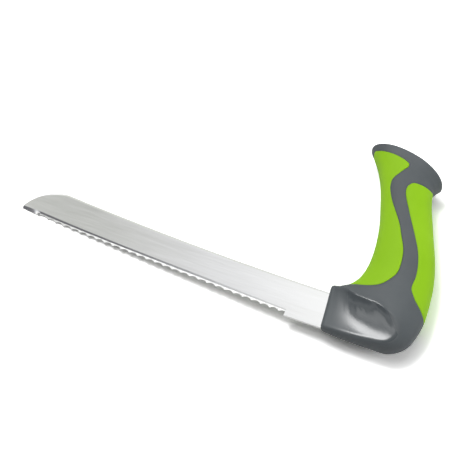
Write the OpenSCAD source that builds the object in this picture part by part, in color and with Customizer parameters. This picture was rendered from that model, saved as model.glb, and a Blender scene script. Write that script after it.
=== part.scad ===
// Bread knife with an upright pistol grip, lying on its side as it rests on a table.
// It is drawn flat first: x runs along the blade towards the handle, y from the cutting edge
// up towards the hand, z through the thickness. settle() then lays it down on the table.

/* [Blade] */
// Length of the blade, from its point to the mouth of the handle
blade_len = 201; // [160:1:240]
// Width of the blade at the handle
blade_w = 24.4; // [23:0.2:29]
// Thickness of the blade
blade_t = 1.5; // [1.2:0.1:2]
// Radius of the gentle curve of the spine
blade_r = 2150; // [1600:50:4000]
// Angle by which the edge rises from the handle towards the point
taper = 2.3; // [1.8:0.05:3.2]
// Radius of the edge's gentle curve
edge_r = 12000; // [8000:500:20000]
// How much further the edge curves up at the point
belly = 1.85; // [1:0.05:3]
// Length of the rounded end of the spine
tip_len = 23.6; // [16:0.2:28]

/* [Serrated edge] */
// Distance from one tooth to the next
pitch = 5.87; // [4:0.01:8]
// Depth of the scallop between two teeth
scallop = 1.2; // [0.8:0.05:1.5]
// Height of the ground band above the points of the teeth, at the handle
grind_w = 2.6; // [2.3:0.05:3]
// Height of its flat part, which runs down to the points of the teeth
bevel_w = 1.65; // [1.4:0.05:2]
// Thickness of the blade where that flat part ends
bevel_t = 0.7; // [0.4:0.05:0.9]
// Height of the ground band at the point, as a share of that at the handle
grind_share = 0.9; // [0.6:0.05:0.95]
// Length of the plain edge at the handle
heel_len = 20; // [14:0.5:30]
// Height of the teeth above the plain edge at the handle
heel_step = 1.2; // [0.6:0.1:2]
// Length of the plain sharp edge at the point
tip_plain = 13; // [8:0.5:20]

/* [Tang] */
// Length of the tang inside the handle
tang_len = 41; // [30:1:44]
// Width of the tang
tang_w = 15; // [12:0.5:17]
// Thickness of the tang
tang_t = 1.2; // [1:0.05:1.2]
// How far the full width of the blade reaches into the mouth of the handle
seat = 3; // [2:0.5:6]
// Gap between the full thickness of the blade and the mouth of the handle
mouth_gap = 0.2; // [0.1:0.05:0.5]
// Radius of the two holes that the handle's plastic fills
lock_r = 2.6; // [1.5:0.1:4]

/* [Handle] */
// Height of the grip above the base that holds the blade
grip_h = 110; // [95:1:125]
// Length of the base, from the blade to the back of the hand
base_len = 54; // [50:1:62]
// Thickness of the handle from side to side
grip_t = 26; // [24:0.5:32]
// Height of the base above the spine of the blade
base_over = 4.6; // [3:0.1:7]
// Depth of the base below the edge of the blade
base_under = 1.6; // [0.8:0.1:3]
// Radius of the rounded rim where the blade comes out
mouth_r = 2.5; // [1.5:0.1:3]
// How far the end of the grip bows out between its front and its back
cap_bow = 3.3; // [2:0.1:7]
// Radius of the rim round the end of the grip
cap_r = 1.1; // [0.8:0.1:2]
// Hollow of the scoops in the sides of the base
scoop = 1; // [0.5:0.1:1.4]

/* [Soft pads] */
// Thickness of the soft pads
pad_t = 2.5; // [1.5:0.1:3.5]

/* [Hidden] */
steel = [0.80, 0.81, 0.81];
grey = [0.38, 0.40, 0.42];
green = [0.56, 0.77, 0.17];

// Where the handle's top and the ends of the two pads lie, counted in stations
base_top = blade_w + base_over;
finger_from = 1.25;
finger_to = 11.25;
palm_from = 5;
palm_to = 10.125;
scoop_to = 3.8;
last = 12;

// Stations across the handle, from the mouth round the bend to the end of the grip:
// number, front edge x and height, back edge x and height (x in lengths of the base; height is
// -1 at the bottom of the base, 0 at its top and 1 at the end of the grip), thickness at the
// front and the back (shares of grip_t), squareness, bow (share of cap_bow)
stations = [
    [0, 0.024, -0.012, 0.100, -0.98, 0.77, 0.44, 2.7, 0],
    [1, 0.120, 0.015, 0.310, -1.00, 0.88, 0.48, 2.6, 0],
    [2, 0.175, 0.043, 0.590, -1.00, 0.96, 0.62, 2.5, 0],
    [3, 0.222, 0.094, 0.840, -0.95, 1.00, 0.85, 2.4, 0],
    [4, 0.245, 0.167, 0.995, -0.66, 1.00, 1.00, 2.3, 0],
    [5, 0.242, 0.259, 1.047, -0.13, 1.00, 1.00, 2.3, 0],
    [6, 0.214, 0.360, 1.017, 0.121, 1.00, 1.00, 2.3, 0],
    [7, 0.164, 0.470, 0.930, 0.305, 1.00, 1.00, 2.3, 0],
    [8, 0.086, 0.589, 0.771, 0.506, 0.98, 0.98, 2.3, 0],
    [9, -0.008, 0.717, 0.637, 0.672, 0.97, 0.97, 2.3, 0],
    [10, -0.123, 0.832, 0.580, 0.768, 0.96, 0.96, 2.3, 0.3],
    [11, -0.232, 0.912, 0.595, 0.807, 0.98, 0.98, 2.4, 0.8],
    [12, -0.294, 0.953, 0.636, 0.844, 1.02, 1.02, 2.5, 1]
];

// Where the soft pads stop on the side of the handle, as an angle round the section:
// 0 is the front edge, 90 the middle of the side, 180 the back edge
finger_line = [
    [0, 15], [1.25, 24], [2.5, 51], [3.5, 68], [4.25, 78], [5, 86], [5.8, 88], [6.3, 86], [6.8, 80],
    [7.3, 74], [8.1, 58], [8.5, 53], [8.85, 53], [9.2, 60], [9.6, 76], [10.05, 88], [10.4, 92],
    [10.7, 90], [10.85, 78], [11.05, 39], [11.25, 18], [12, 18]
];
palm_line = [
    [0, 167], [4.25, 167], [5, 126], [5.15, 115], [5.45, 112], [5.8, 114], [6.2, 113], [6.8, 108],
    [7.1, 103], [7.6, 96], [8, 92], [8.4, 89], [8.7, 88], [9, 90], [9.2, 94], [9.43, 104],
    [9.55, 118], [9.7, 139], [9.93, 163], [10.125, 172], [12, 172]
];
// The two creases that the scoop in the side of the base runs between
upper_crease = [
    [0, 40], [0.6, 48], [1.25, 61], [1.85, 73], [2.7, 85], [3.2, 92], [3.55, 104], [3.8, 118]
];
lower_crease = [[0, 147], [2.2, 148], [3.0, 148], [3.4, 142], [3.8, 130]];

// Smooth curve through the rows of a table whose first column is the place along it
function step_of(T, t) = min(floor(lookup(t, [for (k = [0:len(T) - 1]) [T[k][0], k]])), len(T) - 2);
function slope(T, k) =
    let (a = T[max(k - 1, 0)], b = T[min(k + 1, len(T) - 1)])
    (b - a) / (b[0] - a[0]);
function curve(T, t) =
    let (
        k = step_of(T, t),
        w = T[k + 1][0] - T[k][0],
        f = (min(max(t, T[0][0]), T[len(T) - 1][0]) - T[k][0]) / w
    )
    T[k] * (1 + 2 * f) * pow(1 - f, 2) + T[k + 1] * f * f * (3 - 2 * f)
        + w * slope(T, k) * f * pow(1 - f, 2) - w * slope(T, k + 1) * f * f * (1 - f);

// Real place of a station's height, and a power that keeps the sign
function height(h) = base_top + h * (h < 0 ? base_top + base_under : grip_h);
function keep(a, p) = sign(a) * pow(abs(a), p);

// Point on the section at station t, at an angle round it, moved in by a depth
function across(s, angle) = -keep(cos(angle), 2 / s[7]);
function plain(s, angle, depth) =
    let (
        front = [s[1] * base_len, height(s[2])],
        back = [s[3] * base_len, height(s[4])],
        half = norm(back - front) / 2,
        along = (back - front) / (2 * half),
        v = across(s, angle),
        t = grip_t / 4 * (s[5] + s[6] + (s[6] - s[5]) * v) - depth,
        flat = (front + back) / 2 + v * (half - depth) * along
            + s[8] * cap_bow * (1 - v * v) * [-along[1], along[0]]
    )
    [flat[0], flat[1], t * keep(sin(angle), 2 / s[7])];

// The same with the scoop cut into the side between its two creases
function skin(t, angle, depth = 0) =
    let (
        s = curve(stations, t),
        a = curve(upper_crease, t)[1],
        b = curve(lower_crease, t)[1],
        p = plain(s, angle, depth)
    )
    t > scoop_to || angle <= a || angle >= b ? p
        : let (
            pa = plain(s, a, depth),
            pb = plain(s, b, depth),
            f = (across(s, angle) - across(s, a)) / (across(s, b) - across(s, a)),
            sag = scoop * min(1, 0.4 + 0.4 * t) * (across(s, b) - across(s, a)) * 4 * f * (1 - f)
        )
        [p[0], p[1], pa[2] + (pb[2] - pa[2]) * f - sag];

// Angles at which the surface is drawn at station t, from the front edge to the back edge:
// across the finger pad, down to each crease in turn, to the palm pad and across it
pad_steps = [0, 0.2, 0.4, 0.6, 0.8, 0.95];
function between(a, b, n) = [for (i = [0:n - 1]) a + (b - a) * i / n];
function angles(t) =
    let (
        f = curve(finger_line, t)[1],
        p = curve(palm_line, t)[1],
        past = min(max(t - scoop_to, 0), 1),
        u = curve(upper_crease, t)[1] * (1 - past) + (f * 2 + p) / 3 * past,
        l = curve(lower_crease, t)[1] * (1 - past) + (f + p * 2) / 3 * past
    )
    concat(
        [for (k = pad_steps) f * k], between(f, u, 3), between(u, l, 6), between(l, p, 3), [p],
        [for (i = [len(pad_steps) - 1:-1:0]) 180 - (180 - p) * pad_steps[i]]
    );
// Depth of the recess under each pad, shallower where the pad reaches round by less than this angle
wide_pad = 30;
function under_finger(t, angle) =
    let (edge = curve(finger_line, t)[1])
    t <= finger_from || t >= finger_to || angle > edge - 0.01 ? 0 : pad_t * min(1, edge / wide_pad);
function under_palm(t, angle) =
    let (edge = curve(palm_line, t)[1])
    t <= palm_from || t >= palm_to || angle < edge + 0.01 ? 0 : pad_t * min(1, (180 - edge) / wide_pad);

// A whole ring of points: up one side, then back along the other
function ring(side) =
    concat(side, [for (i = [len(side) - 2:-1:1]) [side[i][0], side[i][1], -side[i][2]]]);
function outer_ring(t) = ring([for (a = angles(t)) skin(t, a)]);
function recess(t, angle) = max(under_finger(t, angle), under_palm(t, angle));
function body_ring(t) = ring([for (a = angles(t)) skin(t, a, recess(t, a))]);
function end_ring(t, depth, shift) = ring([for (a = angles(t)) skin(t, a, depth) + shift]);

// Stations at which the handle is drawn, closer together where a pad ends
places = [
    each [0:0.25:4.75], 5, 5.125, 5.25, 5.5, each [5.75:0.25:9.25], each [9.375:0.125:11.25],
    each [11.5:0.25:12]
];

// Triangles between neighbouring rings of n points, and those that close an end from side to side
function tube_faces(rows, n) = [
    for (i = [0:rows - 2], j = [0:n - 1], half = [0, 1])
        let (a = i * n + j, b = i * n + (j + 1) % n)
        half == 0 ? [b + n, b, a] : [a + n, b + n, a]
];
function end_faces(first, n) = [
    for (j = [0:n / 2 - 1], half = [0, 1])
        if (half == 0 ? j < n / 2 - 1 : j > 0)
            half == 0 ? [first + j, first + j + 1, first + n - j - 1]
                : [first + j, first + n - j - 1, first + n - j]
];
function turned_over(faces) = [for (f = faces) [f[2], f[1], f[0]]];

// Rings that round off the mouth and the end of the grip, and those of the low dome on that end
round_steps = [90, 60, 30];
dome_steps = [0.35, 0.6, 0.85];
mouth_rings = [for (q = round_steps) end_ring(0, mouth_r * (1 - cos(q)), [-mouth_r * sin(q), 0, 0])];
cap_way =
    let (
        s = curve(stations, last),
        d = [(s[3] - s[1]) * base_len, height(s[4]) - height(s[2])]
    )
    [-d[1], d[0], 0] / norm(d);
cap_rings = concat(
    [
        for (k = [len(round_steps) - 1:-1:0])
            let (q = round_steps[k])
            end_ring(last, cap_r * (1 - cos(q)), cap_way * cap_r * sin(q))
    ],
    [for (f = dome_steps) end_ring(last, f * grip_t / 2, cap_way * cap_r * (1 + f))]
);

// Outline of the blade: slope of its edge, and height of its spine and of the tips of its teeth.
// The lower side of the point touches the table.
function spine_y(x) = blade_w + x * x / (2 * blade_r);
function edge_y(x) =
    heel_step - x * tan(taper) + x * x / (2 * edge_r) + belly * pow(x / blade_len, 6);
function edge_turn(x) = atan(edge_y(x - 1) - edge_y(x));
tip = [-blade_len, edge_y(-blade_len), -blade_t / 2];

// Everything is laid on the table by three points of contact: this one, one on the base and one at
// the end of the grip. The last two are found by turning the table a few times.
table_tries = 4;
side_points = [for (t = places) [for (p = outer_ring(t)) if (p[2] < 0) p]];
base_points = [for (k = [0:len(places) - 1]) if (places[k] < last / 2) each side_points[k]];
end_points = concat(
    [for (k = [0:len(places) - 1]) if (places[k] > last - 3) each side_points[k]],
    cap_rings[0]
);
function lowest(points, up) =
    let (h = [for (p = points) p * up], m = min(h))
    [for (i = [0:len(h) - 1]) if (h[i] == m) points[i]][0];
function up_from(a, b, c) =
    let (n = cross(b - a, c - a))
    n / norm(n);
function table(up, tries) =
    tries == 0 ? up : table(up_from(tip, lowest(base_points, up), lowest(end_points, up)), tries - 1);
table_up = table([0, 0, 1], table_tries);
droop = -atan(table_up[0] / table_up[2]);
roll = atan(table_up[1] / norm([table_up[0], table_up[2]]));
function turned(p) =
    let (
        x = p[0] * cos(droop) + p[2] * sin(droop),
        z = p[2] * cos(droop) - p[0] * sin(droop)
    )
    [x, p[1] * cos(roll) - z * sin(roll), p[1] * sin(roll) + z * cos(roll)];
outline = [for (p = concat([tip], [for (t = places) each outer_ring(t)], each_of(cap_rings))) turned(p)];
function each_of(rows) = [for (r = rows) each r];
function low_of(k) = min([for (p = outline) p[k]]);
function high_of(k) = max([for (p = outline) p[k]]);
origin = [(low_of(0) + high_of(0)) / 2, (low_of(1) + high_of(1)) / 2, low_of(2)];

module settle()
    translate(-origin)
    rotate([roll, 0, 0])
    rotate([0, droop, 0])
    children();

module handle_form() {
    rows = concat(mouth_rings, [for (t = places) body_ring(t)], cap_rings);
    n = len(rows[0]);
    polyhedron(each_of(rows), concat(
        tube_faces(len(rows), n),
        end_faces(0, n),
        turned_over(end_faces((len(rows) - 1) * n, n))
    ));
}

// A pad is the space between the handle's outer skin and the recess under it.
// Both skins share their border, so the pad ends in a thin lip.
module pad(rows_out, rows_in) {
    m = len(rows_out);
    n = len(rows_out[0]);
    function rim(i, j) = i == 0 || j == 0 || i == m - 1 || j == n - 1;
    function deep(i, j) = rim(i, j) ? i * n + j : (m + i) * n + j;
    function on_rim(k) = k < m * n && rim(floor(k / n), k % n);
    polyhedron(
        concat(each_of(rows_out), each_of(rows_in)),
        [
            for (i = [0:m - 2], j = [0:n - 2], side = [0, 1], half = [0, 1])
                let (
                    q = side == 0 ? [i * n + j, i * n + j + 1, (i + 1) * n + j + 1, (i + 1) * n + j]
                        : [deep(i, j), deep(i + 1, j), deep(i + 1, j + 1), deep(i, j + 1)],
                    f = half == 0 ? [q[2], q[1], q[0]] : [q[3], q[2], q[0]]
                )
                if (!(on_rim(f[0]) && on_rim(f[1]) && on_rim(f[2]))) f
        ]
    );
}

// Blade

tooth_count = round((blade_len - heel_len - tip_plain) / pitch);
spine_steps = 30;
tip_steps = 20;
heel_steps = 4;
spine_end = -blade_len + tip_len;
spine_slope = spine_end / blade_r;
tip_fullness = 1.7;
function tip_curve(f) =
    let (
        low_y = edge_y(-blade_len),
        x = -tip_len * pow(sin(90 * f), 2 / tip_fullness),
        drop = spine_y(spine_end) - low_y - spine_slope * tip_len
    )
    [spine_end + x, low_y + spine_slope * (x + tip_len) + drop * pow(cos(90 * f), 2 / tip_fullness)];
function along(from, to, k) = from + (to - from) * k;
toothed_outline = concat(
    [for (i = [0:spine_steps]) let (x = along(-heel_len, spine_end, i / spine_steps)) [x, spine_y(x)]],
    [for (i = [1:tip_steps]) tip_curve(i / tip_steps)],
    [for (i = [1:spine_steps]) let (x = along(-blade_len, -heel_len, i / spine_steps)) [x, edge_y(x)]]
);
// The blade's full thickness ends just before the mouth, whose line leans back towards its top.
// From there the neck goes in, as thin as the tang.
mouth_ends = [plain(stations[0], 0, 0), plain(stations[0], 180, 0)];
function mouth_x(y) =
    let (f = (y - mouth_ends[0][1]) / (mouth_ends[1][1] - mouth_ends[0][1]))
    along(mouth_ends[0][0], mouth_ends[1][0], f) - mouth_r - mouth_gap;
function spine_line(from) = [
    for (i = [0:heel_steps])
        let (x = along(from, -heel_len, i / heel_steps))
        [x, spine_y(min(x, 0))]
];
heel_outline = concat([[-heel_len, 0], [mouth_x(0), 0]], spine_line(mouth_x(blade_w)));
neck_from = -heel_len / 2;
neck_outline = concat(
    [[neck_from, 0], [seat, 0]],
    [for (p = spine_line(seat)) if (p[0] > neck_from) p]
);

// The ground band along the whole edge: a flat bevel that starts from nothing at the points of the
// teeth, and a short steep step above it. It gets narrower towards the blade's point.
grind_over = 1;
function narrowing(x) = along(1, grind_share, (-x - heel_len) / (blade_len - heel_len));
function grind_section(x) =
    let (
        low = edge_y(x),
        knee = low + bevel_w * narrowing(x),
        step = (grind_w - bevel_w) * narrowing(x),
        knee_z = bevel_t - blade_t / 2,
        low_slope = bevel_t / (knee - low),
        step_slope = (blade_t - bevel_t) / step,
        top_z = blade_t / 2 + grind_over * step_slope
    )
    [
        [x, low - grind_over, -blade_t / 2 - grind_over * low_slope],
        [x, knee, knee_z],
        [x, knee + step + grind_over, top_z],
        [x, knee + step + grind_over, top_z + grind_over],
        [x, low - grind_over, top_z + grind_over]
    ];
module grind() {
    from = -blade_len - grind_over;
    to = -heel_len + grind_over;
    rows = [for (i = [0:spine_steps]) grind_section(along(from, to, i / spine_steps))];
    n = len(rows[0]);
    last_row = spine_steps * n;
    polyhedron(each_of(rows), concat(
        tube_faces(len(rows), n),
        [for (j = [1:n - 2]) [0, j, j + 1]],
        [for (j = [1:n - 2]) [last_row, last_row + j + 1, last_row + j]]
    ));
}

// One scallop, cut straight through the blade. Two of them meet in a tooth, a hair above the line
// of the edge. The first one starts within a tooth of the step at the heel.
first_tooth = 0.18;
tooth_blunt = 0.06;
scallop_sag = scallop - tooth_blunt;
scallop_r = (pitch * pitch / 4 + scallop_sag * scallop_sag) / (2 * scallop_sag);
module scallop_cut(x)
    translate([x, edge_y(x), 0])
    rotate([0, 0, -edge_turn(x)])
    translate([0, scallop - scallop_r, 0])
    cylinder(r = scallop_r, h = 2 * blade_t, center = true, $fn = 96);

lock_places = [0.4, 0.75];
module tang()
    translate([0, 0, -tang_t / 2])
    linear_extrude(tang_t)
    difference() {
        translate([0, (blade_w - tang_w) / 2])
        square([tang_len, tang_w]);
        for (f = lock_places)
            translate([tang_len * f, blade_w / 2])
            circle(r = lock_r, $fn = 48);
    }

module blank(outline_points, t = blade_t)
    translate([0, 0, -t / 2])
    linear_extrude(t)
    polygon(outline_points);

module blade() {
    color(steel)
    settle()
    union() {
        difference() {
            blank(toothed_outline);
            for (k = [0:tooth_count - 1])
                scallop_cut(-heel_len - pitch * (k + first_tooth));
            grind();
        }
        blank(heel_outline);
        blank(neck_outline, tang_t);
        tang();
    }
}

module handle_body() {
    color(grey)
    settle()
    difference() {
        handle_form();
        blank(neck_outline, tang_t);
        tang();
    }
}

finger_places = [for (t = places) if (t >= finger_from && t <= finger_to) t];
palm_places = [for (t = places) if (t >= palm_from && t <= palm_to) t];
pad_points = len(pad_steps);
function finger_part(r) = [for (j = [-pad_points:pad_points]) r[(j + len(r)) % len(r)]];
function palm_part(r) = [for (j = [-pad_points:pad_points]) r[len(r) / 2 + j]];

module finger_pad() {
    color(green)
    settle()
    pad(
        [for (t = finger_places) finger_part(outer_ring(t))],
        [for (t = finger_places) finger_part(body_ring(t))]
    );
}

module palm_pad() {
    color(green)
    settle()
    pad(
        [for (t = palm_places) palm_part(outer_ring(t))],
        [for (t = palm_places) palm_part(body_ring(t))]
    );
}

blade();
handle_body();
finger_pad();
palm_pad();
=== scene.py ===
"""Bread knife with an upright grip, dressed for the photograph.

The knife lies on its side on a white table. Its shapes are worked out flat, in millimetres: x along the
blade towards the handle, y from the cutting edge up towards the hand, z through the thickness. settle()
then lays every point on the table, as the CAD model lies, and turns it into metres.
"""
import math

import bpy
import numpy as np
from mathutils import Euler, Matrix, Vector


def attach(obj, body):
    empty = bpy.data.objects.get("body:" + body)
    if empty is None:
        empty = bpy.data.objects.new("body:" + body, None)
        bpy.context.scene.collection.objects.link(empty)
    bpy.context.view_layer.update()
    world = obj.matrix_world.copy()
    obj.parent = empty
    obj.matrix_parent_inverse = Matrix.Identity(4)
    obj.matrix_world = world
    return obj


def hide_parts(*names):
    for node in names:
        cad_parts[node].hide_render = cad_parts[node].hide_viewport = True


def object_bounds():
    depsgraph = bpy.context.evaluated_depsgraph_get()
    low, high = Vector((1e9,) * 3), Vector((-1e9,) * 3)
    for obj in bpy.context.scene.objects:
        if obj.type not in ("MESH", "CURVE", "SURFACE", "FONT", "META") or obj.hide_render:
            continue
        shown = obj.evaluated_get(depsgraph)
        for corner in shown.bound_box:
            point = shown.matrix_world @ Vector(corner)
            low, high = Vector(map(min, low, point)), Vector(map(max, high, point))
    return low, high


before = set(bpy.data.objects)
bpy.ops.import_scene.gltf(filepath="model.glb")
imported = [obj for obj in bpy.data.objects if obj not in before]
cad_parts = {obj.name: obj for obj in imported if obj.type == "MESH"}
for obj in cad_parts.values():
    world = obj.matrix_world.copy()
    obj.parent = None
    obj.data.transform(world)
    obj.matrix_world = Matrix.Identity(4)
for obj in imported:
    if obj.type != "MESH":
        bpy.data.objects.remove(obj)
cad_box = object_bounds()

# Sizes of the CAD model, in millimetres and degrees

# Blade
BLADE_LEN = 201.0       # from the point to the mouth of the handle
BLADE_W = 24.4          # at the handle
BLADE_T = 1.5
BLADE_R = 2150.0        # radius of the gentle curve of the spine
TAPER = 2.3             # angle by which the edge rises towards the point
EDGE_R = 12000.0        # radius of the edge's gentle curve
BELLY = 1.85            # how much further the edge curves up at the point
TIP_LEN = 23.6          # length of the rounded end of the spine
TIP_FULLNESS = 1.7      # 2 would make that end a quarter of an ellipse
SEAT = 3.0              # how far the blade reaches into the mouth of the handle

# Ground edge with its teeth
PITCH = 5.87            # from one tooth to the next
SCALLOP = 1.2           # depth of the scallop between two teeth
FIRST_TOOTH = 0.18      # middle of the first scallop, in pitches from the plain edge at the handle
TOOTH_BLUNT = 0.06      # how far the teeth's points stay above the edge's curve
HEEL_LEN = 20.0         # plain edge at the handle
HEEL_STEP = 1.2         # height of the teeth above it
TIP_PLAIN = 13.0        # plain edge at the point
GRIND_W = 2.6           # height of the ground band, at the handle
GRIND_SHARE = 0.9       # its height at the point, as a share of that
BEVEL_W = 1.65          # height of its flat part
BEVEL_T = 0.7           # thickness of the blade where that flat part ends

# Handle
GRIP_H = 110.0          # height of the grip above the base
BASE_LEN = 54.0         # from the blade to the back of the hand
GRIP_T = 26.0           # from side to side
BASE_OVER = 4.6         # height of the base above the spine of the blade
BASE_UNDER = 1.6        # depth of the base below the edge of the blade
MOUTH_R = 2.5           # rounded rim where the blade comes out
CAP_BOW = 3.3           # how far the end of the grip bows out
CAP_R = 1.1             # rim round that end
SCOOP = 1.0             # hollow of the scoops
SCOOP_START = 0.4       # share of that hollow at the mouth
SCOOP_GAIN = 0.4        # what this share gains with each station, up to 1
PAD_T = 2.5             # thickness of the soft pads
BASE_TOP = BLADE_W + BASE_OVER

# First and last stations of the pads, and the last ones of the scoop and of the handle
FINGER = (1.25, 11.25)
PALM = (5.0, 10.125)
SCOOP_TO = 3.8
LAST = 12.0

# How the knife lies on the table
MM = 0.001
DROOP, ROLL = math.radians(-2.94116), math.radians(0.863171)
ORIGIN = np.array([-72.1014, 66.5165, -10.8682])

# Stations across the handle: number, front x and height, back x and height (x in lengths of the base;
# height is -1 at the bottom of the base, 0 at its top and 1 at the end of the grip), thickness at the
# front and the back (shares of GRIP_T), squareness, bow (share of CAP_BOW)
STATIONS = np.array([
    [0, 0.024, -0.012, 0.100, -0.98, 0.77, 0.44, 2.7, 0],
    [1, 0.120, 0.015, 0.310, -1.00, 0.88, 0.48, 2.6, 0],
    [2, 0.175, 0.043, 0.590, -1.00, 0.96, 0.62, 2.5, 0],
    [3, 0.222, 0.094, 0.840, -0.95, 1.00, 0.85, 2.4, 0],
    [4, 0.245, 0.167, 0.995, -0.66, 1.00, 1.00, 2.3, 0],
    [5, 0.242, 0.259, 1.047, -0.13, 1.00, 1.00, 2.3, 0],
    [6, 0.214, 0.360, 1.017, 0.121, 1.00, 1.00, 2.3, 0],
    [7, 0.164, 0.470, 0.930, 0.305, 1.00, 1.00, 2.3, 0],
    [8, 0.086, 0.589, 0.771, 0.506, 0.98, 0.98, 2.3, 0],
    [9, -0.008, 0.717, 0.637, 0.672, 0.97, 0.97, 2.3, 0],
    [10, -0.123, 0.832, 0.580, 0.768, 0.96, 0.96, 2.3, 0.3],
    [11, -0.232, 0.912, 0.595, 0.807, 0.98, 0.98, 2.4, 0.8],
    [12, -0.294, 0.953, 0.636, 0.844, 1.02, 1.02, 2.5, 1],
])

# Lines along the side of the handle: station, and angle round its section, where 0 is the front edge,
# 90 the middle of the side and 180 the back edge. First where the soft pads stop
FINGER_LINE = np.array([
    [0, 15], [1.25, 24], [2.5, 51], [3.5, 68], [4.25, 78], [5, 86], [5.8, 88], [6.3, 86], [6.8, 80],
    [7.3, 74], [8.1, 58], [8.5, 53], [8.85, 53], [9.2, 60], [9.6, 76], [10.05, 88], [10.4, 92],
    [10.7, 90], [10.85, 78], [11.05, 39], [11.25, 18], [12, 18],
])
PALM_LINE = np.array([
    [0, 167], [4.25, 167], [5, 126], [5.15, 115], [5.45, 112], [5.8, 114], [6.2, 113], [6.8, 108],
    [7.1, 103], [7.6, 96], [8, 92], [8.4, 89], [8.7, 88], [9, 90], [9.2, 94], [9.43, 104],
    [9.55, 118], [9.7, 139], [9.93, 163], [10.125, 172], [12, 172],
])
# The two creases that the scoop runs between
UPPER_CREASE = np.array([
    [0, 40], [0.6, 48], [1.25, 61], [1.85, 73], [2.7, 85], [3.2, 92], [3.55, 104], [3.8, 118],
])
LOWER_CREASE = np.array([[0, 147], [2.2, 148], [3.0, 148], [3.4, 142], [3.8, 130]])

# Finer detail that only the visual model has, in millimetres where the line names no other unit

# Scoop and mouth of the handle
CREASE_ROUND = 0.9      # softness of the scoop's creases
SCOOP_RISE = 0.7        # stations over which the scoop fades out at its back end
SCOOP_PAST = 0.1        # how many stations past SCOOP_TO that ends
EDGE_KEPT = 8           # degrees at the front and the back edge that the scoop leaves alone
MOUTH_DROP = 0.8        # how much flatter the handle's side is at its mouth
MOUTH_RUN = 0.9         # stations over which that goes
RIDGE = 0.8             # height of the ridge on the upper crease
RIDGE_ROUND = 0.7       # roundness of its top
RIDGE_OUT = 3.0         # how far it runs out above the crease
RIDGE_IN = 1.5          # how far it runs out into the scoop
RIDGE_FROM = 0.3        # station where it starts
RIDGE_RUN = 1.3         # stations over which it comes
RIDGE_END = 0.4         # stations over which it goes
RIDGE_CLEAR = 30        # degrees from the front edge at which it has its full height
CREASE_KEPT = 2         # columns beside a crease that keep their shape where the floor is smoothed
CREASE_BLEND = 4        # columns after those over which the smoothing comes
SMOOTH_OVER = 0.22      # stations over which the scoop's floor is smoothed
SMOOTH_END = 0.8        # stations over which the smoothing goes
POLISH_EDGE = 3.0       # degrees over which the polish of the scoop fades
POLISH_OVER = 4.5       # degrees by which it reaches past each crease
POLISH_RUN = 1.8        # stations over which it comes
POLISH_END = 0.4        # stations over which it goes

# Borders of the pads
GROOVE_DEPTH = 0.32     # fine groove round each pad
GROOVE_WIDTH = 0.45
RECESS_RUN = 3.0        # how far in from a pad's border its recess is PAD_T deep
RECESS_RIM = 0.15       # further depth that the recess has all over, from close to its border on
RECESS_RIM_RUN = 0.3    # how far in from the border it reaches that

# Edge and spine of the blade
POINT_NARROW = 0.45     # share by which the ground band gets narrower on the plain edge at the point
ONE_SLOPE_RUN = 3       # length over which its two slopes become one there
SPINE_BEVEL = 1.5       # width of the bevel along the spine
SPINE_DROP = 0.48       # how far it falls
BEVEL_FADE = 8          # width of the blade under which that bevel gets smaller
SHARP_ANGLE = 12        # degrees between two faces of the blade that make a sharp line
MATT_RUN = 3            # length round the end of the plain edge over which the ground bevel turns matt
MATT_FIRST = 0.55       # how matt it is after that, as a share of GROUND_ROUGH
MATT_LEN = 90           # length over which this share would grow by 1 towards the handle
STEP_MATT = 0.3         # how matt the steep step above the bevel gets, as such a share
STEP_FROM = 40          # distance from the point at which the step starts to be matt
STEP_RUN = 70           # length over which it gets to that

# How finely the meshes are drawn: steps round a section, stations, angles and shares of the rings that
# close the mouth and the cap, and columns of the blade
N_FINGER, N_FRONT, N_SCOOP, N_BACK, N_PALM = 16, 16, 24, 14, 16
STATION_STEP = 0.05
STATION_APART = 0.004
PAD_END_STEPS = (-0.02, -0.008, 0, 0.008, 0.02, 0.035)
MOUTH_TURN = (90, 75, 60, 45, 30, 15)
CAP_TURN = (15, 30, 45, 60, 75, 90)
CAP_INNER = (0.14, 0.22, 0.32, 0.44, 0.54, 0.62)
TIP_COLUMNS = (0, 0.15, 0.4, 0.8, 1.3, 2, 3, 4.2, 5.5, 7, 8.5, 10, 11.5)
TOOTH_COLUMNS, HEEL_COLUMNS = 14, 24
TIP_STEPS, SPINE_STEPS = 40, 90
GRIND_STEPS, STEP_STEPS, SIDE_STEPS = 4, 2, 8
HAIR = 0.001            # least distance between two lines of a mesh
THIN = 0.02             # least height of the ground band and of the blade
HEEL_WALL = 0.04        # length over which the step between teeth and plain edge is drawn


def settle(points):
    """Flat millimetres to metres on the table, kept inside the CAD model's box."""
    p = np.asarray(points, float)
    x = p[:, 0] * math.cos(DROOP) + p[:, 2] * math.sin(DROOP)
    z = p[:, 2] * math.cos(DROOP) - p[:, 0] * math.sin(DROOP)
    y = p[:, 1] * math.cos(ROLL) - z * math.sin(ROLL)
    z = p[:, 1] * math.sin(ROLL) + z * math.cos(ROLL)
    q = (np.stack([x, y, z], 1) - ORIGIN) * MM
    low, high = (np.array(c) for c in cad_box)
    return np.clip(q, low, high)


def held(value):
    """A value kept between 0 and 1."""
    return min(max(value, 0), 1)


def eased(f):
    """A share from 0 to 1 that starts and stops softly."""
    return f * f * (3 - 2 * f)


def curve(table, t):
    """Smooth curve through the rows of a table whose first column is the place along it."""
    t = float(np.clip(t, table[0, 0], table[-1, 0]))
    k = int(min(np.searchsorted(table[:, 0], t, side="right") - 1, len(table) - 2))

    def slope(i):
        a, b = table[max(i - 1, 0)], table[min(i + 1, len(table) - 1)]
        return (b - a) / (b[0] - a[0])

    w = table[k + 1, 0] - table[k, 0]
    f = (t - table[k, 0]) / w
    return (table[k] * (1 + 2 * f) * (1 - f) ** 2 + table[k + 1] * f * f * (3 - 2 * f)
            + w * slope(k) * f * (1 - f) ** 2 - w * slope(k + 1) * f * f * (1 - f))


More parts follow.
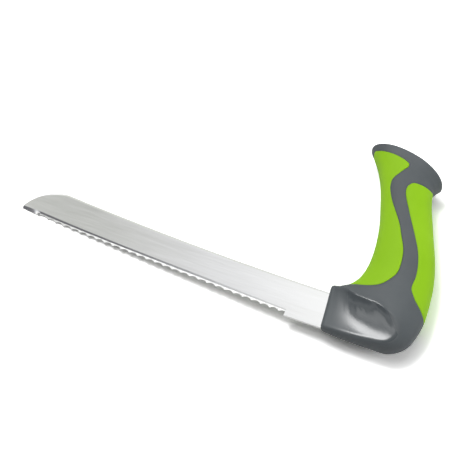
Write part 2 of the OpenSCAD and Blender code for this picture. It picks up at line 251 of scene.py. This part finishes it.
def make_mesh(name, points, faces):
    """A smooth-shaded object from points and faces."""
    mesh = bpy.data.meshes.new(name)
    mesh.from_pydata([tuple(p) for p in points], [], faces)
    mesh.validate()
    mesh.polygons.foreach_set("use_smooth", [True] * len(mesh.polygons))
    obj = bpy.data.objects.new(name, mesh)
    bpy.context.scene.collection.objects.link(obj)
    return obj


def set_share(piece, name, values):
    """Gives each point of a piece a number that its material reads by name."""
    piece.data.attributes.new(name, "FLOAT", "POINT").data.foreach_set("value", values.ravel())


# Sections of the handle


def height(h):
    """Millimetres above the blade's edge for a height in the table of stations."""
    return BASE_TOP + h * (BASE_TOP + BASE_UNDER if h < 0 else GRIP_H)


def signed_power(a, p):
    """A power that keeps the sign of its base."""
    return np.sign(a) * np.abs(a) ** p


def across(s, angle):
    """Place across a section, from -1 at its front edge to 1 at its back edge."""
    return -signed_power(np.cos(np.radians(angle)), 2 / s[7])


def plain(s, angle, depth):
    """Points of a section without the scoop, angle and depth being arrays of one length."""
    front = np.array([s[1] * BASE_LEN, height(s[2])])
    back = np.array([s[3] * BASE_LEN, height(s[4])])
    half = np.linalg.norm(back - front) / 2
    along = (back - front) / (2 * half)
    v = across(s, angle)
    t = GRIP_T / 4 * (s[5] + s[6] + (s[6] - s[5]) * v) - depth
    bow = (s[8] * CAP_BOW * (1 - v * v))[:, None] * np.array([[-along[1], along[0]]])
    flat = (front + back)[None, :] / 2 + (v * (half - depth))[:, None] * along[None, :] + bow
    return np.column_stack([flat, t * signed_power(np.sin(np.radians(angle)), 2 / s[7])])


def lower_of(a, b, soft):
    """The smaller of two heights, rounded where they cross."""
    h = np.maximum(soft - np.abs(a - b), 0) / soft
    return np.minimum(a, b) - h * h * soft / 4


def skin(t, angle, depth=None):
    """Points of the handle's skin at station t, with the scoop between its two rounded creases."""
    angle = np.asarray(angle, float)
    depth = np.zeros(len(angle)) if depth is None else np.asarray(depth, float)
    s = curve(STATIONS, t)
    p = plain(s, angle, depth)
    near = max(1 - t / MOUTH_RUN, 0)
    drop = near * near * MOUTH_DROP
    p[:, 2] *= 1 - drop / p[:, 2].max()
    fade = held((SCOOP_TO + SCOOP_PAST - t) / SCOOP_RISE)
    if fade == 0:
        return p
    creases = np.array([curve(UPPER_CREASE, t)[1], curve(LOWER_CREASE, t)[1]])
    ends = plain(s, creases, np.array([0.0, 0.0]))
    va, vb = across(s, creases)
    f = (across(s, angle) - va) / (vb - va)
    sag = SCOOP * min(1, SCOOP_START + SCOOP_GAIN * t) * (vb - va) * 4 * f * (1 - f)
    ends[:, 2] *= 1 - drop / p[:, 2].max()
    hollow = ends[0, 2] + (ends[1, 2] - ends[0, 2]) * f - sag - depth
    half = math.hypot((s[3] - s[1]) * BASE_LEN, height(s[4]) - height(s[2])) / 2
    off = (across(s, angle) - va) * half
    reach = np.where(off < 0, RIDGE_OUT, RIDGE_IN)
    grown = held(min((t - RIDGE_FROM) / RIDGE_RUN, (SCOOP_TO - t) / RIDGE_END))
    raised = RIDGE * grown * np.exp(-(np.sqrt(off * off + RIDGE_ROUND ** 2) - RIDGE_ROUND) / reach)
    top = lower_of(p[:, 2], hollow, CREASE_ROUND) + raised * np.clip(angle / RIDGE_CLEAR, 0, 1)
    top = np.where((angle < EDGE_KEPT) | (angle > 180 - EDGE_KEPT), p[:, 2], top)
    p[:, 2] += (top - p[:, 2]) * eased(fade)
    return p


def angles(t):
    """Angles at which a section is drawn: front edge, finger pad, two creases, palm pad, back edge."""
    f, p = curve(FINGER_LINE, t)[1], curve(PALM_LINE, t)[1]
    past = held(t - SCOOP_TO)
    u = curve(UPPER_CREASE, t)[1] * (1 - past) + (f * 2 + p) / 3 * past
    w = curve(LOWER_CREASE, t)[1] * (1 - past) + (f + p * 2) / 3 * past
    marks = [0, f, u, w, p, 180]
    counts = [N_FINGER, N_FRONT, N_SCOOP, N_BACK, N_PALM]
    out = []
    for lo, hi, n in zip(marks, marks[1:], counts):
        out += [lo + (hi - lo) * (1 - math.cos(math.pi * k / n)) / 2 for k in range(n)]
    return np.array(out + [180.0])


def mirrored(side):
    """A whole ring from the points of its upper side: up one side, then back along the other."""
    other = side[-2:0:-1] * np.array([1, 1, -1])
    return np.vstack([side, other])


def stations_drawn():
    """Places along the handle, closer together where a pad ends."""
    out = list(np.arange(0, LAST + HAIR, STATION_STEP))
    for end, sign in ((FINGER[0], 1), (FINGER[1], -1), (PALM[0], 1), (PALM[1], -1)):
        out += [end + sign * d for d in PAD_END_STEPS]
    out = sorted(round(t, 4) for t in out if 0 <= t <= LAST)
    kept = [out[0]]
    for t in out[1:]:
        if t - kept[-1] > STATION_APART:
            kept.append(t)
    return kept


TS = stations_drawn()


def row_of(t):
    """Number of the ring that is drawn nearest to station t."""
    return int(np.argmin([abs(x - t) for x in TS]))


def smoothed(rings):
    """The scoop's floor smoothed along the handle, with its creases kept as they are."""
    first, last = N_FINGER + N_FRONT, N_FINGER + N_FRONT + N_SCOOP
    cols = np.arange(first + 1, last)
    inner = np.clip((np.minimum(cols - first, last - cols) - CREASE_KEPT) / CREASE_BLEND, 0, 1)
    ts = np.array(TS)
    share = np.exp(-((ts[:, None] - ts[None, :]) / SMOOTH_OVER) ** 2 / 2) * np.gradient(ts)[None, :]
    share[:, ts > SCOOP_TO] = 0
    mirror = np.exp(-((ts[:, None] + ts[None, :]) / SMOOTH_OVER) ** 2 / 2) * np.gradient(ts)[None, :]
    grid = np.array(rings)
    z = grid[:, cols, 2]
    total = share.sum(1, keepdims=True) + mirror.sum(1, keepdims=True) + 1e-12
    even = (share @ z + mirror @ (2 * z[0] - z)) / total
    weight = inner[None, :] * np.clip((SCOOP_TO - ts) / SMOOTH_END, 0, 1)[:, None]
    grid[:, cols, 2] += weight * (even - z)
    return grid


def border_of(ends, low_col, high_col):
    """Ring columns of a pad, and the grid places round its edge."""
    first, last = row_of(ends[0]), row_of(ends[1])
    cols = [j % N_RING for j in range(low_col, high_col + 1)]
    side_a = [(i, cols[0]) for i in range(first, last + 1)]
    side_b = [(i, cols[-1]) for i in range(first, last + 1)]
    rims = [(i, j) for i in (first, last) for j in cols]
    return cols, side_a + side_b + rims


def distance_to(points, line):
    """Distance from each point to the nearest point of a line, worked out in batches."""
    batch = 2000
    out = np.empty(len(points))
    for k in range(0, len(points), batch):
        d = points[k:k + batch, None, :] - line[None, :, :]
        out[k:k + batch] = np.sqrt((d * d).sum(2).min(1))
    return out


def normals_of(grid):
    """Outward normals of a grid of rings."""
    du = np.gradient(grid, axis=0)
    dv = np.roll(grid, -1, axis=1) - np.roll(grid, 1, axis=1)
    n = np.cross(dv, du)
    n /= np.maximum(np.linalg.norm(n, axis=2, keepdims=True), 1e-9)
    middle = grid.mean(axis=1, keepdims=True)
    flip = np.sign(((grid - middle) * n).sum(axis=(1, 2)))
    return n * flip[:, None, None]


# SKIN is the handle's outside with the grooves round the pads, and SHELL is the same with the pads'
# recesses sunk into it
SIDES = smoothed([skin(t, angles(t)) for t in TS])
OUTER = np.array([mirrored(r) for r in SIDES])
N_ROWS, N_RING = OUTER.shape[:2]
BACK_COL = len(SIDES[0]) - 1
FINGER_COLS, FINGER_EDGE = border_of(FINGER, -N_FINGER, N_FINGER)
PALM_COLS, PALM_EDGE = border_of(PALM, BACK_COL - N_PALM, BACK_COL + N_PALM)

normals = normals_of(OUTER)
pad_edges = np.array([OUTER[i, j] for i, j in FINGER_EDGE + PALM_EDGE])
edge_far = distance_to(OUTER.reshape(-1, 3), pad_edges).reshape(N_ROWS, N_RING)
groove = GROOVE_DEPTH * np.exp(-(edge_far / GROOVE_WIDTH) ** 2)
SKIN = OUTER - normals * groove[:, :, None]

inside_pad = np.zeros((N_ROWS, N_RING), bool)
for cols, (t0, t1) in ((FINGER_COLS, FINGER), (PALM_COLS, PALM)):
    inside_pad[row_of(t0) + 1:row_of(t1), :][:, cols[1:-1]] = True
sunk = PAD_T * eased(np.clip(edge_far / RECESS_RUN, 0, 1))
sunk += RECESS_RIM * np.clip(edge_far / RECESS_RIM_RUN, 0, 1)
SHELL = SKIN - normals * np.where(inside_pad, sunk, 0)[:, :, None]


# Handle shell and pads


def end_ring(t, depth, shift):
    """The ring of station t, drawn in by depth and moved by shift."""
    a = angles(t)
    return mirrored(skin(t, a, np.full(len(a), depth)) + shift)


def mouth_rings():
    """Rings that round the rim of the mouth, from the innermost out."""
    out = []
    for q in np.radians(MOUTH_TURN):
        out.append(end_ring(0, MOUTH_R * (1 - math.cos(q)), np.array([-MOUTH_R * math.sin(q), 0, 0])))
    return out


def cap_rings():
    """Rings that round the rim of the cap and then draw in over its end."""
    s = curve(STATIONS, LAST)
    to_back = np.array([(s[3] - s[1]) * BASE_LEN, height(s[4]) - height(s[2])])
    way = np.array([-to_back[1], to_back[0], 0]) / np.linalg.norm(to_back)
    out = []
    for q in np.radians(CAP_TURN):
        out.append(end_ring(LAST, CAP_R * (1 - math.cos(q)), way * CAP_R * math.sin(q)))
    for f in CAP_INNER:
        out.append(end_ring(LAST, f * GRIP_T / 2, way * CAP_R * (1 + f)))
    return out


def tube_faces(rows, n):
    """Faces of a tube of rings with n points each."""
    out = []
    for i in range(rows - 1):
        for j in range(n):
            a, b = i * n + j, i * n + (j + 1) % n
            out.append((a + n, b + n, b, a))
    return out


def end_faces(first, n, flip):
    """Faces that close a tube at the ring whose first point is given."""
    out = []
    for j in range(n // 2):
        f = [first + j, first + j + 1, first + n - j - 1, first + (n - j) % n]
        f = list(dict.fromkeys(f))
        out.append(tuple(f[::-1] if flip else f))
    return out


def polish_of(t):
    """How polished the shell is round the ring at station t: 1 in the scoops, 0 elsewhere."""
    a = angles(t)
    low, high = curve(UPPER_CREASE, t)[1], curve(LOWER_CREASE, t)[1]
    inside = np.clip((np.minimum(a - low, high - a) + POLISH_OVER) / POLISH_EDGE, 0, 1)
    side = inside * eased(held(min(t / POLISH_RUN, (SCOOP_TO - t) / POLISH_END)))
    return np.concatenate([side, side[-2:0:-1]])


def shell_piece():
    """The hard grey shell, closed at its mouth and its cap."""
    mouth, cap = mouth_rings(), cap_rings()
    rows = np.concatenate([np.array(mouth), SHELL, np.array(cap)])
    faces = tube_faces(len(rows), N_RING)
    faces += end_faces(0, N_RING, False)
    faces += end_faces((len(rows) - 1) * N_RING, N_RING, True)
    piece = make_mesh("handle_shell", settle(rows.reshape(-1, 3)), faces)
    polish = np.zeros((len(rows), N_RING))
    polish[len(mouth):len(mouth) + N_ROWS] = [polish_of(t) for t in TS]
    set_share(piece, "polish", polish)
    return piece


def pad_piece(name, cols, ends):
    """A soft pad: its outer skin, and an inner one that lies on the recess in the shell."""
    first, last = row_of(ends[0]), row_of(ends[1])
    top = SKIN[first:last + 1][:, cols]
    low = SHELL[first:last + 1][:, cols]
    m, n = top.shape[:2]

    def deep(i, j):
        return i * n + j if i in (0, m - 1) or j in (0, n - 1) else (m + i) * n + j

    faces = []
    for i in range(m - 1):
        for j in range(n - 1):
            faces.append((i * n + j, (i + 1) * n + j, (i + 1) * n + j + 1, i * n + j + 1))
            under = (deep(i, j), deep(i, j + 1), deep(i + 1, j + 1), deep(i + 1, j))
            if min(under) >= m * n or len(set(under) & set(faces[-1])) < 4:
                faces.append(under)
    return make_mesh(name, settle(np.concatenate([top.reshape(-1, 3), low.reshape(-1, 3)])), faces)


# Blade
SCALLOP_SAG = SCALLOP - TOOTH_BLUNT
SCALLOP_R = (PITCH * PITCH / 4 + SCALLOP_SAG * SCALLOP_SAG) / (2 * SCALLOP_SAG)
TOOTH_COUNT = round((BLADE_LEN - HEEL_LEN - TIP_PLAIN) / PITCH)
SPINE_END = -BLADE_LEN + TIP_LEN


def spine_y(x):
    """Height of the spine at x, without its rounded end."""
    return BLADE_W + x * x / (2 * BLADE_R)


def edge_y(x):
    """Height at x of the curve on which the points of the teeth lie."""
    straight = HEEL_STEP - x * math.tan(math.radians(TAPER))
    return straight + x * x / (2 * EDGE_R) + BELLY * (x / BLADE_LEN) ** 6


def back_of_blade():
    """Points along the spine, from the tip to the handle."""
    low = edge_y(-BLADE_LEN)
    slope = SPINE_END / BLADE_R
    drop = spine_y(SPINE_END) - low - slope * TIP_LEN
    pts = []
    for k in range(TIP_STEPS + 1):
        turn = math.pi / 2 * (1 - k / TIP_STEPS)
        x = -TIP_LEN * math.sin(turn) ** (2 / TIP_FULLNESS)
        y = low + slope * (x + TIP_LEN) + drop * math.cos(turn) ** (2 / TIP_FULLNESS)
        pts.append((SPINE_END + x, y))
    for x in np.linspace(SPINE_END, SEAT, SPINE_STEPS)[1:]:
        pts.append((x, spine_y(min(x, 0))))
    return np.array(pts)


BACK = back_of_blade()


def top_of(x):
    """Height of the spine at x, with its rounded end."""
    return float(np.interp(x, BACK[:, 0], BACK[:, 1]))


def tooth_lift(x):
    """How far the scallops push the edge up at x."""
    s = (x + HEEL_LEN) / -PITCH - FIRST_TOOTH
    k = min(max(round(s), 0), TOOTH_COUNT - 1)
    s = (s - k) * PITCH
    if abs(s) > SCALLOP_R:
        return 0.0
    return max(SCALLOP - SCALLOP_R + math.sqrt(SCALLOP_R ** 2 - s * s), 0.0)


def grind_share(x):
    """Height of the ground band at x, as a share of that at the handle."""
    share = 1 + (GRIND_SHARE - 1) * (-x - HEEL_LEN) / (BLADE_LEN - HEEL_LEN)
    return share * (1 - POINT_NARROW * held((TIP_PLAIN - BLADE_LEN - x) / TIP_PLAIN))


def ground_z(x, y):
    """Height of the blade's upper side at a place: its flat, or the ground band along the edge."""
    if x >= -HEEL_LEN - HAIR:
        return BLADE_T / 2
    up = max((y - edge_y(x)) / grind_share(x), THIN)
    if up < BEVEL_W:
        z = BEVEL_T * up / BEVEL_W
    else:
        z = BEVEL_T + (BLADE_T - BEVEL_T) * (up - BEVEL_W) / (GRIND_W - BEVEL_W)
    z += (BLADE_T * up / GRIND_W - z) * held((TIP_PLAIN - BLADE_LEN - x) / ONE_SLOPE_RUN)
    return min(z, BLADE_T) - BLADE_T / 2


def blade_columns():
    """Columns along the blade, with one at each cusp between two teeth."""
    xs = [-BLADE_LEN + d for d in TIP_COLUMNS]
    last_cusp = -HEEL_LEN - PITCH * (TOOTH_COUNT - 0.5 + FIRST_TOOTH)
    for k in range(TOOTH_COUNT):
        left = last_cusp + PITCH * k
        for i in range(TOOTH_COLUMNS):
            x = left + PITCH * i / TOOTH_COLUMNS
            if x < -HEEL_LEN - HEEL_WALL - 0.01:
                xs.append(x)
    xs += [-HEEL_LEN - HEEL_WALL, -HEEL_LEN]
    xs += list(np.linspace(-HEEL_LEN, SEAT, HEEL_COLUMNS)[1:])
    return sorted(set(round(x, 4) for x in xs))


def column(x):
    """Heights at one column: edge, knee and top of the grind, start of the spine's bevel, spine."""
    top = top_of(x)
    if x >= -HEEL_LEN - HAIR:
        edge = knee = grind = 0.0
    else:
        share = grind_share(x)
        edge = min(edge_y(x) + tooth_lift(x), top - THIN)
        knee = edge_y(x) + BEVEL_W * share
        grind = edge_y(x) + GRIND_W * share
    bevel = top - SPINE_BEVEL * min(1, (top - edge) / BEVEL_FADE)
    knee = max(min(knee, bevel - 2 * HAIR), edge + HAIR)
    grind = max(min(grind, bevel - HAIR), knee + HAIR)
    return edge, knee, grind, max(bevel, grind + HAIR), top


def blade_points():
    """Points of the blade's upper and lower sides, column by column from the point."""
    half = BLADE_T / 2
    upper, lower = [], []
    for x in blade_columns():
        edge, knee, grind, bevel, top = column(x)
        ys = [edge + (knee - edge) * k / GRIND_STEPS for k in range(GRIND_STEPS)]
        ys += [knee + (grind - knee) * k / STEP_STEPS for k in range(STEP_STEPS)]
        ys += [grind + (bevel - grind) * k / SIDE_STEPS for k in range(SIDE_STEPS + 1)]
        ys += [(bevel + top) / 2, top]
        zs = [ground_z(x, y) for y in ys]
        under = [-half] * len(ys)
        lift = min((top - edge) / BEVEL_FADE, 1)
        for place, drop in ((-2, SPINE_DROP * 0.5), (-1, SPINE_DROP)):
            zs[place] = min(zs[place], half - drop)
            under[place] += drop * lift
        upper.append([(x, y, z) for y, z in zip(ys, zs)])
        lower.append([(x, y, z) for y, z in zip(ys, under)])
    return np.array([upper, lower], float)


def blade_faces(m, n):
    """Faces of m columns of n points on each side: both sides, spine, edge and the two ends."""
    faces = []
    for i in range(m - 1):
        for j in range(n - 1):
            a = i * n + j
            faces.append((a, a + n, a + n + 1, a + 1))
            b = (m + i) * n + j
            faces.append((b, b + 1, b + n + 1, b + n))
        a, b = i * n + n - 1, (m + i) * n + n - 1
        faces.append((a, a + n, b + n, b))
        a, b = i * n, (m + i) * n
        faces.append((a, b, b + n, a + n))
    for i in (0, m - 1):
        for j in range(n - 1):
            a, b = i * n + j, (m + i) * n + j
            f = (a, a + 1, b + 1, b)
            faces.append(f if i == 0 else f[::-1])
    return faces


def matt_share(x):
    """How matt the ground bevel is: not at all on the plain edge at the point, then more and more."""
    if x >= -HEEL_LEN:
        return 0.0
    from_point = x + BLADE_LEN - TIP_PLAIN
    return held(min(from_point / MATT_RUN + 0.5, MATT_FIRST + from_point / MATT_LEN))


def step_share(x):
    """How matt the steep step above the bevel is: mirror-like at the point, a little matt later on."""
    return STEP_MATT * held((x + BLADE_LEN - STEP_FROM) / STEP_RUN) if x < -HEEL_LEN else 0.0


def blade_piece():
    """The blade, with the numbers that say how matt its ground band is."""
    points = blade_points()
    m, n = points.shape[1:3]
    piece = make_mesh("toothed_blade", settle(points.reshape(-1, 3)), blade_faces(m, n))
    piece.data.set_sharp_from_angle(angle=math.radians(SHARP_ANGLE))
    ground = np.zeros((2, m, n))
    for i, x in enumerate(points[0, :, 0, 0]):
        ground[0, i, :GRIND_STEPS] = matt_share(x)
        ground[0, i, GRIND_STEPS:GRIND_STEPS + STEP_STEPS] = step_share(x)
    set_share(piece, "ground", ground)
    return piece


# Materials
STEEL_DARK, STEEL_LIGHT = (0.72, 0.725, 0.71), (0.80, 0.805, 0.80)
STEEL_ROUGH, GROUND_ROUGH = (0.10, 0.15), 0.42
WIDE_SHARE = 0.45       # share of the wide streaks in the steel's tone, beside the fine ones
GREY_DARK, GREY_LIGHT = (0.065, 0.075, 0.082), (0.076, 0.087, 0.094)
SHELL_ROUGH, SCOOP_ROUGH = 0.58, 0.20
SHELL_RELIEF, SCOOP_RELIEF = 0.10, 0.02
GREEN_DARK, GREEN_LIGHT = (0.255, 0.508, 0.011), (0.278, 0.538, 0.014)
FLOOR_SEEN, FLOOR_REAL = (1.55, 1.55, 1.55, 1), (0.8, 0.8, 0.8, 1)


def new_material(name):
    """A material with its nodes, their links and its shader."""
    mat = bpy.data.materials.new(name)
    mat.use_nodes = True
    nodes, links = mat.node_tree.nodes, mat.node_tree.links
    return mat, nodes, links, nodes["Principled BSDF"]


def set_values(node, values):
    """Sets sockets of a node, by name or number."""
    for socket, value in values.items():
        node.inputs[socket].default_value = value


def noise(nodes, links, stretch, scale, detail, rough):
    """Noise that stays with the object, stretched along its axes."""
    place = nodes.new("ShaderNodeTexCoord")
    mapping = nodes.new("ShaderNodeMapping")
    set_values(mapping, {"Scale": stretch})
    links.new(place.outputs["Object"], mapping.inputs["Vector"])
    tex = nodes.new("ShaderNodeTexNoise")
    set_values(tex, {"Scale": scale, "Detail": detail, "Roughness": rough})
    links.new(mapping.outputs["Vector"], tex.inputs["Vector"])
    return tex.outputs["Fac"]


def ramp(nodes, links, fac, stops):
    """Colours that follow a number from 0 to 1."""
    node = nodes.new("ShaderNodeValToRGB")
    band = node.color_ramp
    while len(band.elements) < len(stops):
        band.elements.new(0.5)
    for element, (at, colour) in zip(band.elements, stops):
        element.position = at
        element.color = (*colour, 1)
    links.new(fac, node.inputs["Fac"])
    return node.outputs["Color"]


def ranged(nodes, links, fac, values):
    """Node that brings a number from one range to another."""
    node = nodes.new("ShaderNodeMapRange")
    set_values(node, values)
    links.new(fac, node.inputs["Value"])
    return node


def share_of(nodes, name):
    """A number that the points of the mesh carry."""
    node = nodes.new("ShaderNodeAttribute")
    node.attribute_name = name
    return node.outputs["Fac"]


def bump(nodes, links, shader, fac, strength, distance):
    """Node that gives a shader fine relief from a number."""
    node = nodes.new("ShaderNodeBump")
    set_values(node, {"Strength": strength, "Distance": distance})
    links.new(fac, node.inputs["Height"])
    links.new(node.outputs["Normal"], shader.inputs["Normal"])
    return node


def steel_material():
    """Steel brushed along the blade, more matt on the ground band."""
    mat, nodes, links, shader = new_material("brushed_steel")
    set_values(shader, {"Metallic": 1.0})
    fine = noise(nodes, links, stretch=(14, 900, 900), scale=1.0, detail=4.0, rough=0.6)
    wide = noise(nodes, links, stretch=(5, 120, 120), scale=1.0, detail=2.0, rough=0.5)
    tone = nodes.new("ShaderNodeMix")
    tone.data_type = "FLOAT"
    set_values(tone, {0: WIDE_SHARE})
    links.new(fine, tone.inputs[2])
    links.new(wide, tone.inputs[3])
    colour = ramp(nodes, links, tone.outputs[0], [(0.30, STEEL_DARK), (0.70, STEEL_LIGHT)])
    links.new(colour, shader.inputs["Base Color"])
    rough = ranged(nodes, links, fine, {
        "From Min": 0.3, "From Max": 0.7, "To Min": STEEL_ROUGH[0], "To Max": STEEL_ROUGH[1],
    })
    matt = ranged(nodes, links, share_of(nodes, "ground"), {"To Max": GROUND_ROUGH})
    links.new(rough.outputs["Result"], matt.inputs["To Min"])
    links.new(matt.outputs["Result"], shader.inputs["Roughness"])
    bump(nodes, links, shader, fine, strength=0.12, distance=0.00004)
    return mat


def shell_material():
    """Hard grey plastic with a fine grain, polished in the scoops."""
    mat, nodes, links, shader = new_material("satin_grey_plastic")
    set_values(shader, {"Specular IOR Level": 0.55})
    grain = noise(nodes, links, stretch=(1, 1, 1), scale=2600.0, detail=2.0, rough=0.5)
    cloud = noise(nodes, links, stretch=(1, 1, 1), scale=60.0, detail=3.0, rough=0.5)
    colour = ramp(nodes, links, cloud, [(0.3, GREY_DARK), (0.7, GREY_LIGHT)])
    links.new(colour, shader.inputs["Base Color"])
    polished = share_of(nodes, "polish")
    rough = ranged(nodes, links, polished, {"To Min": SHELL_ROUGH, "To Max": SCOOP_ROUGH})
    links.new(rough.outputs["Result"], shader.inputs["Roughness"])
    relief = ranged(nodes, links, polished, {"To Min": SHELL_RELIEF, "To Max": SCOOP_RELIEF})
    texture = bump(nodes, links, shader, grain, strength=SHELL_RELIEF, distance=0.00005)
    links.new(relief.outputs["Result"], texture.inputs["Strength"])
    return mat


def pad_material():
    """Soft green rubber with a fine grain."""
    mat, nodes, links, shader = new_material("soft_green_rubber")
    set_values(shader, {"Roughness": 0.62, "Specular IOR Level": 0.2})
    grain = noise(nodes, links, stretch=(1, 1, 1), scale=3200.0, detail=2.0, rough=0.6)
    cloud = noise(nodes, links, stretch=(1, 1, 1), scale=45.0, detail=3.0, rough=0.5)
    colour = ramp(nodes, links, cloud, [(0.3, GREEN_DARK), (0.7, GREEN_LIGHT)])
    links.new(colour, shader.inputs["Base Color"])
    bump(nodes, links, shader, grain, strength=0.15, distance=0.00006)
    return mat


def floor_material():
    """White table, overexposed to the camera as in the photograph, so that only a deep shadow shows."""
    mat, nodes, links, shader = new_material("white_table")
    nodes.remove(shader)
    seen, real = nodes.new("ShaderNodeBsdfDiffuse"), nodes.new("ShaderNodeBsdfDiffuse")
    set_values(seen, {"Color": FLOOR_SEEN})
    set_values(real, {"Color": FLOOR_REAL})
    path = nodes.new("ShaderNodeLightPath")
    pick = nodes.new("ShaderNodeMixShader")
    links.new(path.outputs["Is Camera Ray"], pick.inputs["Fac"])
    links.new(real.outputs["BSDF"], pick.inputs[1])
    links.new(seen.outputs["BSDF"], pick.inputs[2])
    links.new(pick.outputs["Shader"], nodes["Material Output"].inputs["Surface"])
    return mat


# Pieces of the knife: each stands for one node of the CAD model, and all ride on its one body
shell = shell_piece()
finger = pad_piece("finger_grip_pad", FINGER_COLS, FINGER)
palm = pad_piece("palm_grip_pad", PALM_COLS, PALM)
blade = blade_piece()
steel, grey, green = steel_material(), shell_material(), pad_material()
for piece, node, slot, mat in (
    (blade, "blade", "steel", steel),
    (shell, "handle_body", "shell", grey),
    (finger, "finger_pad", "pads", green),
    (palm, "palm_pad", "pads", green),
):
    piece.data.materials.append(mat)
    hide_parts(node)
    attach(piece, "root")

# Table, just under the knife
TABLE_REACH, TABLE_DROP = 6.0, 0.0002
table_mesh = bpy.data.meshes.new("table")
table_corners = [(x * TABLE_REACH, y * TABLE_REACH, 0) for x, y in ((-1, -1), (1, -1), (1, 1), (-1, 1))]
table_mesh.from_pydata(table_corners, [], [(0, 1, 2, 3)])
table_mesh.materials.append(floor_material())
table = bpy.data.objects.new("table", table_mesh)
table.location = (0, 0, -TABLE_DROP)
bpy.context.scene.collection.objects.link(table)

# World: the camera sees plain white, and dull surfaces get soft light from all round, slightly warm.
# Shiny surfaces see a studio whose tone changes along ROOM_WAY only, so its tones are placed by one
# number: low on the side of the blade's point and edge, 0.525 straight up, and high on the side of the
# handle and the spine. From the photograph's angle the blade's side mirrors 0.52 at the point to 0.63
# at the handle, the bevel along its spine 0.70 to 0.81, its ground bevel 0.21 to 0.27, and the steep
# step above that 0.03 to 0.10.
CAMERA_WHITE = 1.1
AMBIENT, AMBIENT_COLOUR = 0.22, (1.0, 1.0, 0.98)
ROOM_BRIGHTEST = 1.4
ROOM_WAY, ROOM_OVERHEAD = (0.425, 0.425, 0), 0.525
ROOM = [
    # the steep step: dark at the point, bright towards the handle
    (0.04, (0.14, 0.14, 0.15)), (0.05, (0.30, 0.30, 0.32)), (0.06, (0.56, 0.56, 0.59)),
    (0.072, (0.85, 0.85, 0.88)), (0.084, (1.0, 1.0, 1.0)), (0.104, (1.0, 1.0, 1.0)),
    # a dark part, which the dark wall of the scoop mirrors too
    (0.122, (0.20, 0.20, 0.20)), (0.21, (0.10, 0.10, 0.10)), (0.27, (0.10, 0.10, 0.10)),
    # a bright strip, nearly overhead
    (0.42, (0.36, 0.37, 0.35)), (0.46, (0.80, 0.80, 0.79)), (0.49, (0.80, 0.80, 0.79)),
    # the blade's side: grey at the point, nearly white at the handle
    (0.512, (0.47, 0.47, 0.46)), (0.525, (0.47, 0.475, 0.455)), (0.549, (0.43, 0.435, 0.42)),
    (0.563, (0.52, 0.52, 0.515)), (0.579, (0.59, 0.59, 0.60)), (0.593, (0.68, 0.68, 0.70)),
    (0.608, (0.74, 0.74, 0.76)), (0.627, (0.92, 0.92, 0.93)), (0.65, (0.88, 0.88, 0.88)),
    # the bevel along the spine
    (0.70, (0.68, 0.69, 0.66)), (0.74, (0.64, 0.65, 0.62)), (0.797, (0.72, 0.73, 0.71)),
    (0.823, (0.80, 0.81, 0.80)),
]

world = bpy.data.worlds.new("studio")
world.use_nodes = True
bpy.context.scene.world = world
w_nodes, w_links = world.node_tree.nodes, world.node_tree.links


def backdrop(strength, colour):
    """A plain light from all round."""
    node = w_nodes.new("ShaderNodeBackground")
    set_values(node, {"Color": (*colour, 1), "Strength": strength})
    return node


def chosen(ray, otherwise, then):
    """One of two shaders, by what kind of ray sees it."""
    node = w_nodes.new("ShaderNodeMixShader")
    w_links.new(rays.outputs[ray], node.inputs["Fac"])
    w_links.new(otherwise, node.inputs[1])
    w_links.new(then, node.inputs[2])
    return node.outputs["Shader"]


way = w_nodes.new("ShaderNodeTexCoord")
far = w_nodes.new("ShaderNodeVectorMath")
far.operation = "DOT_PRODUCT"
set_values(far, {1: ROOM_WAY})
w_links.new(way.outputs["Generated"], far.inputs[0])
shift = w_nodes.new("ShaderNodeMath")
shift.operation = "ADD"
set_values(shift, {1: ROOM_OVERHEAD})
w_links.new(far.outputs["Value"], shift.inputs[0])
mirrored_room = backdrop(ROOM_BRIGHTEST, (1, 1, 1))
w_links.new(ramp(w_nodes, w_links, shift.outputs[0], ROOM), mirrored_room.inputs["Color"])
ambient = backdrop(AMBIENT, AMBIENT_COLOUR)
seen_white = backdrop(CAMERA_WHITE, (1, 1, 1))
rays = w_nodes.new("ShaderNodeLightPath")
lit = chosen("Is Glossy Ray", ambient.outputs["Background"], mirrored_room.outputs["Background"])
w_links.new(chosen("Is Camera Ray", lit, seen_white.outputs["Background"]),
            w_nodes["World Output"].inputs["Surface"])

# Lamps: name, place, what they point at, size and watts. Two of them show in no reflection, and the
# edge panel is there for the ground bevel to mirror
LAMPS = (
    ("key_softbox", (-0.45, 0.13, 1.3), (0, 0, 0), (0.42, 0.42), 8.6),
    ("broad_softbox", (-0.36, 0.11, 1.35), (0, 0, 0), (1.3, 1.3), 8.0),
    ("fill_panel", (1.3, 0.25, 0.42), (0.05, 0, 0), (0.9, 0.6), 8.6),
    ("edge_panel", (-0.53, -0.42, 1.2), (-0.05, 0, 0), (0.4, 0.3), 1.1),
)
UNMIRRORED = ("broad_softbox", "fill_panel")
for name, at, towards, size, watts in LAMPS:
    light = bpy.data.lights.new(name, "AREA")
    light.shape = "RECTANGLE"
    light.size, light.size_y = size
    light.energy = watts
    lamp = bpy.data.objects.new(name, light)
    lamp.location = at
    lamp.rotation_euler = (Vector(towards) - Vector(at)).to_track_quat("-Z", "Y").to_euler()
    lamp.visible_glossy = name not in UNMIRRORED
    bpy.context.scene.collection.objects.link(lamp)

# Camera, fitted to the outline of the knife in the photograph
camera_data = bpy.data.cameras.new("camera")
camera_data.lens = 104.74
camera_data.sensor_width = 36.0
camera_data.clip_start = 0.01
camera = bpy.data.objects.new("camera", camera_data)
camera.location = (0.195754, -0.456955, 0.663947)
camera.rotation_euler = Euler([math.radians(a) for a in (36.0563, 0.2465, 24.0639)], "XYZ")
bpy.context.scene.collection.objects.link(camera)
bpy.context.scene.camera = camera
bpy.context.scene.view_settings.view_transform = "Standard"
